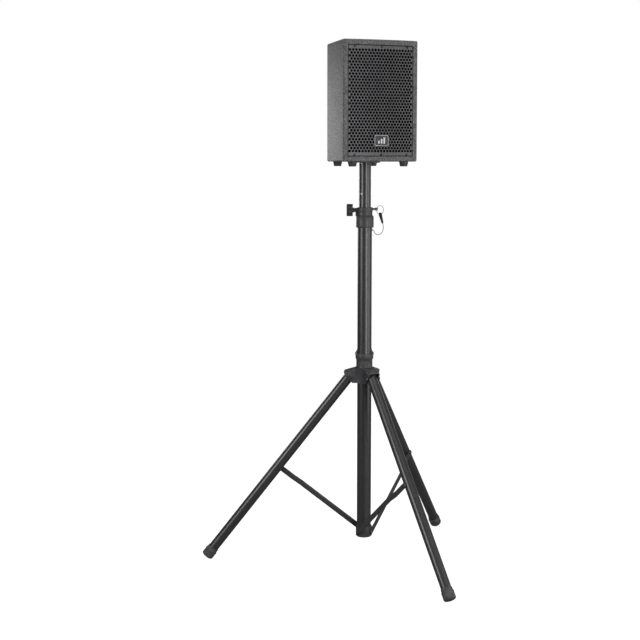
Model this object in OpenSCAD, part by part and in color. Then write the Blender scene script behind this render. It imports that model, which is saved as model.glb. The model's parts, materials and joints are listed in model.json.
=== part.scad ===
// Compact two-way loudspeaker on a folding tripod stand.
// The cabinet turns on a telescoping pole; the legs fold up against the mast.
// +Z is up, the grille faces -Y, and the origin is on the floor under the middle of the stand's outline.

/* [Cabinet] */
// Width across the front
cab_w = 234; // [226:1:260]
// Height of the cabinet
cab_h = 342; // [338:1:400]
// Depth from the front corners to the back
cab_d = 206; // [190:1:240]
// How far each side leans in from front to back
side_taper = 40; // [20:1:44]
// How far the middle of the front stands proud of its corners
front_bow = 8; // [4:0.5:12]
// Board thickness
board = 15; // [12:0.5:18]
// Depth of the front corners ahead of the pole axis
front_y = 104; // [100:1:115]
// Height of the cabinet's underside above the floor
cab_z = 1190; // [1180:1:1250]

/* [Drivers] */
// Outer diameter of the woofer's frame
woofer_d = 190; // [170:1:190]
// Width of the horn's mouth flange
horn_w = 188; // [160:1:188]
// Height of the horn's mouth flange
horn_h = 90; // [80:1:92]

/* [Stand] */
// Diameter of the telescoping pole
pole_d = 35; // [34:0.5:36]
// Diameter of the main tube
mast_d = 42; // [42:0.5:43]
// Length of the telescoping pole
pole_len = 1010; // [900:10:1050]
// Spacing of the locking holes along the pole
hole_pitch = 45; // [45:1:50]
// Diameter of the leg tubes
leg_d = 30; // [28:0.5:30]
// Distance from the mast axis to the middle of a foot
foot_r = 471; // [420:1:500]
// Direction of the first leg, anticlockwise from +X
leg_az = -85; // [-90:1:-80]
// Direction of the height knob, anticlockwise from +X
knob_az = 155; // [150:1:160]

/* [Hidden] */

$fn = 48;
eps = 0.01;
gap = 0.3; // between parts that move against each other

// ---- colours ----
paint = "#3a3a3e";
steel_black = "#1d1d20";
plastic = "#202022";
rubber = "#151516";
zinc = "#b9bbbd";

// ---- leg geometry ----
leg_count = 3;
pivot_r = 45.9;       // leg pivot, from the mast axis
pivot_z = 556;        // leg pivot, above the floor
tip_z = 10.5;         // middle of a foot, above the floor
leg_reach = foot_r - pivot_r;
leg_drop = pivot_z - tip_z;
leg_len = sqrt(leg_reach * leg_reach + leg_drop * leg_drop);
leg_tilt = atan2(leg_reach, leg_drop);
leg_top = 9;          // how far a leg runs above its pivot
leg_wall = 1.5;
cap_d = 37;
cap_len = 34;

// ---- brace geometry ----
brace_on_leg = 346;   // from the leg pivot down to the brace joint
brace_r = 3;          // lower brace pivot, from the mast axis along the leg
brace_z = 87;
brace_w = 16;
brace_t = 2.5;
low_offset = mast_d / 2 + 1.2;      // strap's inner face beside the mast
high_offset = leg_d / 2 + 0.6;      // strap's inner face beside the leg
joint_r = pivot_r + brace_on_leg * sin(leg_tilt);
joint_z = pivot_z - brace_on_leg * cos(leg_tilt);
brace_len = sqrt(pow(joint_r - brace_r, 2) + pow(joint_z - brace_z, 2));
brace_tilt = atan2(joint_z - brace_z, joint_r - brace_r);

// ---- mast and hub ----
mast_bottom = 75;
mast_top = 1030;
hub_bottom = 540;
hub_mid = 608;
hub_top = 627;
hub_r = 24;
ear_in = leg_d / 2 + 0.5;
ear_out = 18.2;
base_r = 24;
collar_bottom = 998;
collar_shoulder = 1033;
rim_bottom = 1047;
collar_top = 1057;
clamp_z = 1052;       // locking pin and its row of holes
knob_z = 1049;        // height knob
pin_az = knob_az + 180;

// ---- pole and its socket ----
pole_r = pole_d / 2;
socket_depth = 70;
pole_top = cab_z + socket_depth - gap;
pole_bottom = pole_top - pole_len;
hole_r = 4.2;
holes_above = 2;      // locking holes above the pin when the pole stands as drawn
holes_below = 14;

// ---- origin under the middle of the bounding box ----
origin_x = -foot_r * (cos(leg_az + 120) + cos(leg_az + 240)) / 2;
origin_y = -foot_r * (sin(leg_az) + sin(leg_az + 120)) / 2;

// ---- cabinet levels ----
back_y = cab_d - front_y;
baffle_y = -front_y + 20;           // front face of the baffle
batten_front = 3;                   // recess of the grille behind the bowed front edge
grille_t = 1.2;
grille_side = 1.2;                  // slot between the grille and the frame
pilot_r = 1.95;                     // pilot holes for the screws, whose shanks are 0.05 smaller
bow_r = (cab_w * cab_w / 4 + front_bow * front_bow) / (2 * front_bow);
woofer_z = cab_z + board + 10 + woofer_d / 2;
horn_z = cab_z + cab_h - board - 9 - horn_h / 2;
grille_screw_x = 82;
foot_front = [81, 89];
foot_back = [57, 69];
foot_h = 13.5;

module in_stand() { translate([origin_x, origin_y, 0]) children(); }

// Frame whose Z axis points straight out from the mast in direction az, starting at radius r and height z.
module outward(az, r, z) { rotate([0, 0, az]) translate([r, 0, z]) rotate([0, 90, 0]) children(); }

// ================= cabinet =================

// Trapezoid of the cabinet seen from above, grown by g; its front edge is bowed.
module plan(g = 0) {
    intersection() {
        polygon([
            [-cab_w / 2 - g, -front_y], [-cab_w / 2 - g, -front_y - front_bow - g],
            [cab_w / 2 + g, -front_y - front_bow - g], [cab_w / 2 + g, -front_y],
            [cab_w / 2 - side_taper + g, back_y + g], [-cab_w / 2 + side_taper - g, back_y + g]]);
        translate([0, -front_y - front_bow + bow_r]) circle(r = bow_r + g, $fn = 360);
    }
}

// The same outline cut back to the band that lies between two distances behind the bowed front.
module bowed_band(from, to, half_w) {
    intersection() {
        difference() {
            translate([0, -front_y - front_bow + bow_r]) circle(r = bow_r - from, $fn = 360);
            translate([0, -front_y - front_bow + bow_r]) circle(r = bow_r - to, $fn = 360);
        }
        translate([-half_w, -front_y - front_bow - 1]) square([2 * half_w, 40]);
    }
}

module top_panel()
    color(paint) in_stand() translate([0, 0, cab_z + cab_h - board]) linear_extrude(board) plan();

module bottom_panel()
    color(paint) in_stand() difference() {
        translate([0, 0, cab_z]) linear_extrude(board) plan();
        translate([0, 0, cab_z - 1]) cylinder(r = pole_r + 4, h = board + 2);
        at_socket_screws() translate([0, 0, cab_z - 1]) cylinder(r = pilot_r, h = 13);
        at_feet() translate([0, 0, cab_z - 1]) cylinder(r = pilot_r, h = 13);
    }

// One side board, as the strip of the plan beyond the inner face on that side.
module side_board(s) {
    translate([0, 0, cab_z + board]) linear_extrude(cab_h - 2 * board) intersection() {
        plan();
        polygon([
            [s * cab_w / 2, -front_y - front_bow - 1], [s * (cab_w / 2 - board), -front_y - front_bow - 1],
            [s * (cab_w / 2 - board), -front_y], [s * (cab_w / 2 - side_taper - board), back_y],
            [s * (cab_w / 2 - side_taper), back_y], [s * cab_w / 2, -front_y]]);
    }
}

module left_side_panel() color(paint) in_stand() side_board(-1);
module right_side_panel() color(paint) in_stand() side_board(1);

back_in_w = cab_w / 2 - side_taper - board;
slope = side_taper / cab_d;
terminal_w = 110;
terminal_h = 84;
terminal_z = cab_z + 105;

module back_panel()
    color(paint) in_stand() difference() {
        translate([0, 0, cab_z + board]) linear_extrude(cab_h - 2 * board)
            polygon([[-back_in_w, back_y], [back_in_w, back_y],
                [back_in_w + slope * board, back_y - board], [-back_in_w - slope * board, back_y - board]]);
        translate([-terminal_w / 2 + 10, back_y - board - 1, terminal_z - terminal_h / 2 + 10])
            cube([terminal_w - 20, board + 2, terminal_h - 20]);
        at_terminal_screws() translate([0, 0, -1]) cylinder(r = pilot_r, h = 12);
    }

// Half width inside the cabinet at depth y.
function inside(y) = cab_w / 2 - board - slope * (y + front_y);

module front_baffle()
    color("#26262a") in_stand() difference() {
        translate([0, 0, cab_z + board]) linear_extrude(cab_h - 2 * board)
            polygon([[-inside(baffle_y), baffle_y], [inside(baffle_y), baffle_y],
                [inside(baffle_y + board), baffle_y + board],
                [-inside(baffle_y + board), baffle_y + board]]);
        translate([0, baffle_y - 1, woofer_z]) rotate([-90, 0, 0])
            cylinder(d = woofer_d - 24, h = board + 2, $fn = 96);
        translate([-horn_w / 2 + 14, baffle_y - 1, horn_z - horn_h / 2 + 12])
            cube([horn_w - 28, board + 2, horn_h - 24]);
        at_driver_screws() translate([0, 0, -1]) cylinder(r = pilot_r, h = 11);
    }

batten_h = 16;
grille_half = cab_w / 2 - board - grille_side;

module grille_battens()
    color("#26262a") in_stand() difference() {
        for (z = [cab_z + board, cab_z + cab_h - board - 8])
            translate([0, 0, z]) linear_extrude(8) intersection() {
                bowed_band(batten_front + grille_t + 2.5, 60, grille_half - 4);
                translate([-grille_half, -front_y - 20]) square([2 * grille_half, baffle_y + front_y + 20]);
            }
        at_grille_screws() cylinder(r = pilot_r, h = 13);
    }

module grille_foam()
    color("#0c0c0d") in_stand() difference() {
        translate([0, 0, cab_z + board + 2]) linear_extrude(cab_h - 2 * board - 4)
            bowed_band(batten_front + grille_t, batten_front + grille_t + 2.5, grille_half - 3);
        at_grille_screws() cylinder(r = 2.2, h = 13);
    }

// Heads of the six grille screws stand on the plain strips at the top and bottom, square to the sheet.
grille_screw_z = [cab_z + board + 5, cab_z + cab_h - board - 5];

module at_grille_screws()
    for (z = grille_screw_z, i = [-1:1])
        translate([0, -front_y - front_bow + bow_r, z]) rotate([0, 0, i * asin(grille_screw_x / bow_r)])
            translate([0, batten_front - bow_r, 0]) rotate([-90, 0, 0]) children();

module front_grille()
    color("#4a4a4e") in_stand() difference() {
        translate([0, 0, cab_z + board + grille_side]) linear_extrude(cab_h - 2 * board - 2 * grille_side)
            bowed_band(batten_front, batten_front + grille_t, grille_half);
        at_grille_screws() cylinder(r = 2.2, h = 8, center = true);
    }

module grille_screws()
    color(steel_black) in_stand() at_grille_screws() {
        translate([0, 0, -1.82]) cylinder(r1 = 2.4, r2 = 3.6, h = 1.8);
        translate([0, 0, -0.03]) cylinder(r = 1.9, h = 12);
    }

badge_w = 43;
badge_h = 29.5;
badge_z = cab_z + 60;

module rounded_bar(w, h, t, r)
    linear_extrude(t) {
        square([w - 2 * r, h], center = true);
        square([w, h - 2 * r], center = true);
        for (x = [-1, 1], y = [-1, 1]) translate([x * (w / 2 - r), y * (h / 2 - r)]) circle(r = r);
    }

module front_badge()
    color("#c9cacc") in_stand() translate([0, -front_y - front_bow + batten_front, badge_z])
        rotate([90, 0, 0]) difference() {
            rounded_bar(badge_w, badge_h, 2.2, 4);
            translate([0, 0, 1.4]) rounded_bar(badge_w - 3, badge_h - 3, 2, 2.6);
        }

// ================= drivers =================
// Each is drawn about an axis that points into the cabinet from the baffle's front face.
module driver_axis(z) { translate([0, baffle_y, z]) rotate([-90, 0, 0]) children(); }
module driver_at(z) { in_stand() driver_axis(z) children(); }

module at_woofer_screws()
    for (a = [22.5:45:337.5]) rotate([0, 0, a]) translate([woofer_d / 2 - 6, 0, 0]) children();

module at_horn_screws()
    for (x = [-1, 1], y = [-1, 1]) translate([x * (horn_w / 2 - 6), y * (horn_h / 2 - 6), 0]) children();

module at_driver_screws() {
    driver_axis(woofer_z) at_woofer_screws() children();
    driver_axis(horn_z) at_horn_screws() children();
}

coil_r = 19;
magnet_z = 42;
magnet_h = 24;
cone_out = 73;
surround_out = 83;
roll_out = 81.2;                    // outer edge of the surround's roll, just inside the basket's rim

module woofer_basket()
    color(steel_black) driver_at(woofer_z) {
        difference() {
            rotate_extrude($fn = 96) polygon([
                [surround_out + 0.7, -3], [woofer_d / 2, -3], [woofer_d / 2, -eps / 2],
                [woofer_d / 2 - 12.5, -eps / 2], [woofer_d / 2 - 14, 6],
                [woofer_d / 2 - 16, 6], [surround_out - 2.5, 0]]);
            at_woofer_screws() translate([0, 0, -5]) cylinder(r = 2.2, h = 8);
        }
        difference() {
            rotate_extrude($fn = 96) polygon([
                [surround_out - 3, 4], [surround_out - 2, 6], [48, magnet_z], [24, magnet_z],
                [24, magnet_z - 2], [46, magnet_z - 2]]);
            for (a = [0:60:300]) rotate([0, 0, a]) translate([50, -14, -5]) cube([28, 28, magnet_z + 3]);
        }
        for (a = [30:60:330]) rotate([0, 0, a]) translate([surround_out - 4.5, -6, -0.5]) cube([3, 12, 6]);
    }

module woofer_magnet()
    color("#2b2b2d") driver_at(woofer_z) difference() {
        union() {
            translate([0, 0, magnet_z]) cylinder(r = 45, h = magnet_h, $fn = 72);
            translate([0, 0, magnet_z - 12]) cylinder(r = coil_r - 1.6, h = 13);
        }
        translate([0, 0, magnet_z - 1]) difference() {
            cylinder(r = coil_r + 1.6, h = magnet_h - 5);
            translate([0, 0, -1]) cylinder(r = coil_r - 1.6, h = magnet_h);
        }
    }

module woofer_surround()
    color("#111112") driver_at(woofer_z) rotate_extrude($fn = 96) difference() {
        translate([(cone_out + roll_out) / 2, -1.5]) circle(r = (roll_out - cone_out) / 2 + 0.6);
        translate([(cone_out + roll_out) / 2, -1.5]) circle(r = (roll_out - cone_out) / 2 - 0.6);
        translate([0, -1.5]) square([200, 20]);
    }

module woofer_spider()
    color("#b08a4a") driver_at(woofer_z) translate([0, 0, magnet_z - 8]) difference() {
        cylinder(r = 44, h = 1, $fn = 72);
        translate([0, 0, -1]) cylinder(r = coil_r + 1.2, h = 3);
    }

module woofer_cone()
    color("#1a1a1c") driver_at(woofer_z) rotate_extrude($fn = 96)
        polygon([[cone_out - 0.8, -1.5], [cone_out - 0.8, -0.3], [coil_r + 0.4, 27.2], [coil_r + 0.4, 26]]);

module dust_cap()
    color("#1a1a1c") driver_at(woofer_z) rotate_extrude($fn = 72) intersection() {
        difference() {
            translate([0, 54.4]) circle(r = 40, $fn = 96);
            translate([0, 54.4]) circle(r = 39, $fn = 96);
        }
        square([25, 23.1]);
    }

module voice_coil()
    color("#a5652f") driver_at(woofer_z) difference() {
        translate([0, 0, 27.2]) cylinder(r = coil_r, h = 27);
        translate([0, 0, 26]) cylinder(r = coil_r - 0.9, h = 30);
    }

module driver_screws()
    color(zinc) in_stand() at_driver_screws() {
        translate([0, 0, -5.42]) cylinder(r = 3.6, h = 2.4);
        translate([0, 0, -3.03]) cylinder(r = 1.9, h = 12);
    }

// Square-mouthed horn: outer shell less the inner flare, in steps that narrow towards the throat.
horn_depth = 70;
throat_r = 12.7;
function flare(u) = pow(1 - u, 1.7);

module horn_solid(g, from, to) {
    hull() {
        translate([0, 0, from]) linear_extrude(0.5)
            square([2 * (throat_r + g) + (horn_w - 60 - 2 * throat_r) * flare(from / horn_depth),
                2 * (throat_r + g) + (horn_h - 30 - 2 * throat_r) * flare(from / horn_depth)], center = true);
        translate([0, 0, to - 0.5]) linear_extrude(0.5)
            square([2 * (throat_r + g) + (horn_w - 60 - 2 * throat_r) * flare(to / horn_depth),
                2 * (throat_r + g) + (horn_h - 30 - 2 * throat_r) * flare(to / horn_depth)], center = true);
    }
}

module horn_flare()
    color("#161617") driver_at(horn_z) difference() {
        union() {
            translate([0, 0, -3]) linear_extrude(3 - eps / 2) square([horn_w, horn_h], center = true);
            translate([0, 0, -1]) horn_solid(3, 0, 37);
            horn_solid(3, 35, horn_depth);
        }
        translate([0, 0, -3 - eps]) horn_solid(0, 0, 38);
        horn_solid(0, 34.5, horn_depth + 1);
        at_horn_screws() translate([0, 0, -5]) cylinder(r = 2.2, h = 8);
    }

module compression_driver()
    color("#2b2b2d") driver_at(horn_z) translate([0, 0, horn_depth]) {
        cylinder(r = 22, h = 6);
        translate([0, 0, 6 - eps]) cylinder(r = 42, h = 26, $fn = 72);
    }

// ================= inside and back =================
module crossover_board()
    color("#2f5d3a") in_stand() translate([-62, back_y - board - 2.4, cab_z + 190]) {
        cube([124, 1.6, 60]);
        for (p = [[30, 30, 16, 22], [75, 34, 12, 26], [103, 26, 9, 18]])
            translate([p[0], eps, p[1]]) rotate([90, 0, 0]) cylinder(r = p[2] * 0.8, h = p[3] * 0.6);
    }

module damping_foam()
    color("#77777a") in_stand() for (s = [-1, 1])
        translate([0, 0, cab_z + board + 4]) linear_extrude(cab_h - 2 * board - 8)
            polygon([
                [s * (inside(-55) - 0.2), -55], [s * (inside(55) - 0.2), 55],
                [s * (inside(55) - 8), 55], [s * (inside(-55) - 8), -55]]);

jack_x = 22;
jack_r = 3.25;
jack_depth = 30;
jack_z = terminal_z;
recess = 9;

module terminal_plate()
    color(plastic) in_stand() difference() {
        union() {
            translate([0, back_y + 2.4, terminal_z]) rotate([90, 0, 0])
                rounded_bar(terminal_w, terminal_h, 2.4, 6);
            translate([0, back_y + eps, terminal_z]) rotate([90, 0, 0])
                rounded_bar(terminal_w - 22, terminal_h - 22, recess + 3, 4);
        }
        translate([0, back_y + 3, terminal_z]) rotate([90, 0, 0])
            rounded_bar(terminal_w - 28, terminal_h - 28, recess + 3, 3);
        for (x = [-jack_x, jack_x])
            translate([x, back_y + 5, jack_z]) rotate([90, 0, 0]) cylinder(r = 6, h = 30);
        at_terminal_screws() translate([0, 0, -5]) cylinder(r = 2.2, h = 12);
    }

// Frames on the back board's face at the terminal plate's corners, with Z pointing into the cabinet.
module at_terminal_screws()
    for (x = [-1, 1], z = [-1, 1])
        translate([x * (terminal_w / 2 - 6), back_y, terminal_z + z * (terminal_h / 2 - 6)])
            rotate([90, 0, 0]) children();

module input_jacks()
    color(zinc) in_stand() for (x = [-jack_x, jack_x])
        translate([x, back_y - recess + 3, jack_z]) rotate([90, 0, 0]) difference() {
            union() {
                cylinder(r = 8, h = 2.9, $fn = 6);
                translate([0, 0, 2.8]) cylinder(r = 5.9, h = jack_depth);
                translate([-11, -11, 6.2]) cube([22, 22, jack_depth - 8]);
            }
            translate([0, 0, -1]) cylinder(r = jack_r, h = jack_depth);
        }

module terminal_screws()
    color(steel_black) in_stand() at_terminal_screws() {
        translate([0, 0, -4.62]) cylinder(r = 3.6, h = 2.2);
        translate([0, 0, -2.43]) cylinder(r = 1.9, h = 12);
    }

socket_flange_r = 44;

module pole_socket()
    color(plastic) in_stand() translate([0, 0, cab_z]) difference() {
        union() {
            translate([0, 0, -3]) cylinder(r = socket_flange_r, h = 3 - eps / 2, $fn = 72);
            translate([0, 0, -eps]) cylinder(r = pole_r + 3.6, h = socket_depth + 3);
        }
        translate([0, 0, -4]) cylinder(r = pole_r + gap, h = socket_depth + 4);
        at_socket_screws() translate([0, 0, -4]) cylinder(r = 2.2, h = 5);
    }

module at_socket_screws() { for (a = [45:90:315]) rotate([0, 0, a]) translate([35, 0, 0]) children(); }

module underside_screws()
    color(zinc) in_stand() {
        at_socket_screws() translate([0, 0, cab_z]) {
            translate([0, 0, -5.02]) cylinder(r = 3.6, h = 2);
            translate([0, 0, -3.03]) cylinder(r = 1.9, h = 14);
        }
        at_feet() translate([0, 0, cab_z - foot_h + 3.4]) {
            cylinder(r = 3.9, h = 2.2);
            translate([0, 0, 1]) cylinder(r = 1.9, h = foot_h + 6);
        }
    }

foot_places = [[-foot_front[0], -foot_front[1]], [foot_front[0], -foot_front[1]],
    [-foot_back[0], foot_back[1]], [foot_back[0], foot_back[1]]];

module at_feet() { for (p = foot_places) translate([p[0], p[1], 0]) children(); }

module cabinet_feet()
    color(rubber) in_stand() at_feet() translate([0, 0, cab_z - foot_h]) difference() {
        cylinder(r1 = 10.5, r2 = 13.5, h = foot_h - eps / 2);
        translate([0, 0, -1]) cylinder(r = 5, h = 4.5);
        translate([0, 0, 3]) cylinder(r = 4, h = 2.7);
        cylinder(r = 2, h = foot_h + 1);
    }

// ================= pole =================
// Locking holes go through both walls, in line with the locking pin.
module pole_tube()
    color(steel_black) in_stand() difference() {
        translate([0, 0, pole_bottom]) cylinder(r = pole_r, h = pole_len);
        translate([0, 0, pole_bottom - 1]) cylinder(r = pole_r - 1.6, h = pole_len + 2);
        for (i = [-holes_above:holes_below]) translate([0, 0, clamp_z - i * hole_pitch])
            rotate([0, 0, knob_az]) rotate([0, -90, 0]) cylinder(r = hole_r, h = pole_d + 2, center = true);
    }

module pole_guide_bush()
    color("#d8d8d2") in_stand() translate([0, 0, pole_bottom - 6]) difference() {
        union() {
            cylinder(r = mast_d / 2 - 2 - 0.1, h = 6);
            translate([0, 0, 6 - eps]) cylinder(r = pole_r - 1.65, h = 20);
        }
        translate([0, 0, -1]) cylinder(r = 12, h = 30);
    }

// ================= mast =================
module main_tube()
    color(steel_black) in_stand() translate([0, 0, mast_bottom]) difference() {
        cylinder(r = mast_d / 2, h = mast_top - mast_bottom, $fn = 64);
        translate([0, 0, -1]) cylinder(r = mast_d / 2 - 2, h = mast_top - mast_bottom + 2, $fn = 64);
    }

// Sleeve round the mast, a shoulder, a neck round the pole, and a rim with two bosses.
module top_collar()
    color(plastic) in_stand() difference() {
        union() {
            rotate_extrude($fn = 64) polygon([
                [mast_d / 2, collar_bottom], [24.5, collar_bottom], [26, collar_bottom + 2],
                [26, collar_shoulder - 3], [24, collar_shoulder], [22.3, collar_shoulder + 1],
                [22.3, rim_bottom - 1], [23.2, rim_bottom], [23.2, collar_top - 1.5], [22, collar_top],
                [pole_r + gap, collar_top], [pole_r + gap, mast_top + 0.1], [mast_d / 2, mast_top + 0.1]]);
            outward(knob_az, 19, knob_z) cylinder(r = 6.2, h = 12);
            rotate([0, 0, knob_az]) translate([17.5, -3.2, collar_shoulder - 2])
                cube([10, 6.4, knob_z - collar_shoulder + 2]);
            outward(pin_az, 19, clamp_z) cylinder(r = 4.2, h = 4.9);
        }
        translate([0, 0, mast_top + 0.1]) cylinder(r = pole_r + gap, h = 40);
        outward(knob_az, 10, knob_z) cylinder(r = 4.05, h = 30);
        outward(pin_az, 10, clamp_z) cylinder(r = 3.3, h = 30);
    }

module lanyard_anchor()
    color(zinc) in_stand() difference() {
        outward(pin_az, mast_d / 2 - 1, anchor_z) {
            cylinder(r = 3.2, h = 2.4);
            translate([0, 0, 2.3]) cylinder(r = 1.6, h = 1.5);
        }
        cylinder(r = mast_d / 2 + 0.02, h = mast_top);
    }

module base_collar()
    color(plastic) in_stand() difference() {
        union() {
            translate([0, 0, mast_bottom]) cylinder(r = base_r, h = 30, $fn = 64);
            for (k = [0:leg_count - 1]) rotate([0, 0, leg_az + 120 * k]) rotate([90, 0, 0])
                translate([brace_r, brace_z, 14]) cylinder(r = 8.5, h = low_offset - 14.3);
        }
        translate([0, 0, mast_bottom - 1]) cylinder(r = mast_d / 2, h = 32, $fn = 64);
        for (k = [0:leg_count - 1]) rotate([0, 0, leg_az + 120 * k]) {
            // flat faces where the straps turn
            translate([brace_r - 30, -low_offset - 20 + gap, mast_bottom - 1]) cube([60, 20, 32]);
            rotate([90, 0, 0]) translate([brace_r, brace_z, 10]) cylinder(r = 3, h = 20);
        }
    }

// Domed pivot bolts that hold the straps against the collar.
module brace_bolts()
    color(steel_black) in_stand() for (k = [0:leg_count - 1])
        rotate([0, 0, leg_az + 120 * k]) rotate([90, 0, 0]) translate([brace_r, brace_z, 0]) {
            translate([0, 0, mast_d / 2 + 0.1]) cylinder(r = 2.95, h = 5);
            translate([0, 0, low_offset + brace_t + gap]) dome(6.2, 3);
        }

// Low domed head: a cap of a sphere on a short rim.
module dome(r, h) {
    ball = (r * r + (h - 0.8) * (h - 0.8)) / (2 * (h - 0.8));
    cylinder(r = r, h = 0.8);
    rotate_extrude() intersection() {
        translate([0, h - ball]) circle(r = ball, $fn = 96);
        translate([0, 0.8 - eps]) square([r, h]);
    }
}

module mast_end_plug()
    color(rubber) in_stand() {
        translate([0, 0, mast_bottom - 2]) cylinder(r = mast_d / 2, h = 2 - eps / 2);
        translate([0, 0, mast_bottom - eps]) cylinder(r = mast_d / 2 - 2.05, h = 16);
    }

// ================= clamps and pin =================
// Lobed hand knob: a disc scalloped between its lobes, with a boss towards the screw.
module knob(r, h, lobes) {
    difference() {
        union() {
            cylinder(r = r - 2.5, h = h);
            for (i = [0:lobes - 1]) rotate([0, 0, i * 360 / lobes]) translate([r - 5, 0, 0]) {
                cylinder(r = 5, h = h - 1);
                translate([0, 0, h - 1 - eps]) cylinder(r1 = 5, r2 = 4, h = 1);
            }
            translate([0, 0, -4]) cylinder(r = 7, h = 5);
        }
        for (i = [0:lobes - 1]) rotate([0, 0, (i + 0.5) * 360 / lobes])
            translate([r + 1.5, 0, -5]) cylinder(r = 5.2, h = h + 10);
        translate([0, 0, -5]) cylinder(r = 4, h = h);
    }
}

knob_r = 18;
knob_h = 18;
knob_start = 35.5;    // inner face of the grip, from the mast axis

module height_knob()
    color(rubber) in_stand() outward(knob_az, knob_start, knob_z) rotate([0, 0, 12]) knob(knob_r, knob_h, 6);

module height_knob_screw()
    color(zinc) in_stand() outward(knob_az, pole_r + gap + 0.2, knob_z)
        cylinder(r = 3.95, h = knob_start - pole_r + knob_h - 6);

pin_tip = pole_r + gap + 0.2;
pin_head = 30;
head_len = 8.5;

module locking_pin()
    color(zinc) in_stand() outward(pin_az, 0, clamp_z) difference() {
        union() {
            translate([0, 0, pin_tip]) cylinder(r1 = 1.6, r2 = 3, h = 2);
            translate([0, 0, pin_tip + 2 - eps]) cylinder(r = 3, h = pin_head - pin_tip);
            translate([0, 0, pin_head]) cylinder(r = 4.5, h = head_len);
        }
        translate([0, 0, pin_head + head_len / 2]) rotate([0, 90, 0]) cylinder(r = 2.6, h = 20, center = true);
    }

// Split ring through the pin's head, turned about the vertical.
ring_r = 13;
ring_wire = 0.9;
ring_turn = 38;
ring_drop = 13;       // degrees from the hole down to the ring's middle
ring_at = pin_head + head_len / 2;
ring_mid_z = clamp_z - ring_r * sin(ring_drop);
ring_mid_d = ring_r * cos(ring_drop);

module ring_frame()
    rotate([0, 0, pin_az]) translate([ring_at, 0, ring_mid_z]) rotate([0, 0, ring_turn])
        translate([ring_mid_d, 0, 0]) children();

module split_ring()
    color(zinc) in_stand() ring_frame() rotate([90, 0, 0]) rotate_extrude($fn = 64)
        translate([ring_r, 0]) circle(r = ring_wire, $fn = 24);

// Tab that hangs from the bottom of the ring and holds the lanyard's end.
tab_len = 28;
tab_lean = -23;
tab_t = 4;

module tab_frame()
    ring_frame() translate([1.2, 0, -ring_r]) rotate([tab_lean, 0, 0]) children();

module swivel_tab()
    color(rubber) in_stand() tab_frame() rotate([0, 90, 0]) translate([0, 0, -tab_t / 2]) difference() {
        linear_extrude(tab_t) {
            circle(r = 5.5);
            polygon([[0.5, -5.4], [tab_len - 2.5, -2.3], [tab_len - 2.5, 2.3], [0.5, 5.4]]);
            translate([tab_len - 2.5, 0]) circle(r = 2.4);
        }
        translate([0, 0, -1]) cylinder(r = 2.1, h = tab_t + 2);
    }

// ---- lanyard: one thin wire from the tab's end back to the mast ----
lanyard_r = 0.9;
anchor_z = 991;
// [outward from the mast axis, sideways, height]
lanyard_route = [
    [52, 0, 1010], [53, -1.2, 1006.2], [53.6, -2.2, 1002.2], [53.8, -3, 998], [53.6, -3.6, 993.8],
    [52.8, -4, 989.8], [51, -4.2, 986], [48.6, -4.2, 982.6], [45.4, -4.2, 979.8], [41.6, -4.2, 978],
    [37.6, -4, 977.4], [33.8, -3.6, 978.4], [30.6, -3, 980.8], [28.4, -2.2, 984], [27, -1.4, 987.2],
    [25.8, -0.6, 989.8], [24.6, 0, 991]];
lanyard_sides = 8;

function unit(v) = v / norm(v);
function heading(p, i) = unit(p[min(i + 1, len(p) - 1)] - p[max(i - 1, 0)]);
function across(d) = unit(cross(d, [0, 1, 0]));
function ring_points(p, i, r, n) = let(d = heading(p, i), a = across(d), b = cross(d, a))
    [for (j = [0:n - 1]) p[i] + r * (a * cos(360 * j / n) + b * sin(360 * j / n))];

module swept_tube(p, r, n) {
    rings = len(p);
    points = [for (i = [0:rings - 1]) each ring_points(p, i, r, n)];
    side = [for (i = [0:rings - 2], j = [0:n - 1])
        [i * n + j, i * n + (j + 1) % n, (i + 1) * n + (j + 1) % n, (i + 1) * n + j]];
    first = [for (j = [n - 1:-1:0]) j];
    last = [for (j = [0:n - 1]) (rings - 1) * n + j];
    polyhedron(points, concat(side, [first, last]));
}

module pin_lanyard()
    color(steel_black) in_stand() rotate([0, 0, pin_az]) swept_tube(lanyard_route, lanyard_r, lanyard_sides);

// ================= hub =================
// Side view of one bracket, outwards from the mast and upwards; its roof slopes down to the outer end.
roof_start = hub_bottom + 46;
roof_end = [58.5, hub_bottom + 35.5];
roof_slope = atan2(roof_start - roof_end[1], roof_end[0] - hub_r + 2);
roof_t = 3;
bracket_side = [[hub_r - 2, hub_bottom], [35.5, hub_bottom], [57.5, hub_bottom + 24], [60.5, hub_bottom + 31],
    roof_end, [hub_r - 2, roof_start]];

// Bar of half width w that runs down the roof's slope, d below it, with its top edges rounded by r.
module roof_bar(w, d, r, from)
    translate([hub_r - 2, 0, roof_start]) rotate([0, roof_slope, 0]) translate([from, 0, -d])
        rotate([90, 0, 90]) linear_extrude(90) {
            translate([-w, -90]) square([2 * w, 90 - r]);
            translate([-w + r, -r - 1]) square([2 * (w - r), r + 1]);
            for (x = [-1, 1]) translate([x * (w - r), -r]) circle(r = r);
        }

module bracket() {
    difference() {
        intersection() {
            rotate([90, 0, 0]) translate([0, 0, -ear_out]) linear_extrude(2 * ear_out) polygon(bracket_side);
            roof_bar(ear_out, 0, 6, -20);
        }
        intersection() {
            roof_bar(ear_in, roof_t, 4.5, -20);
            translate([hub_r + 1.5, -ear_in, hub_bottom - 1]) cube([60, 2 * ear_in, 60]);
        }
        rotate([90, 0, 0]) translate([pivot_r, pivot_z, -30]) cylinder(r = 4, h = 60);
    }
}

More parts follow.
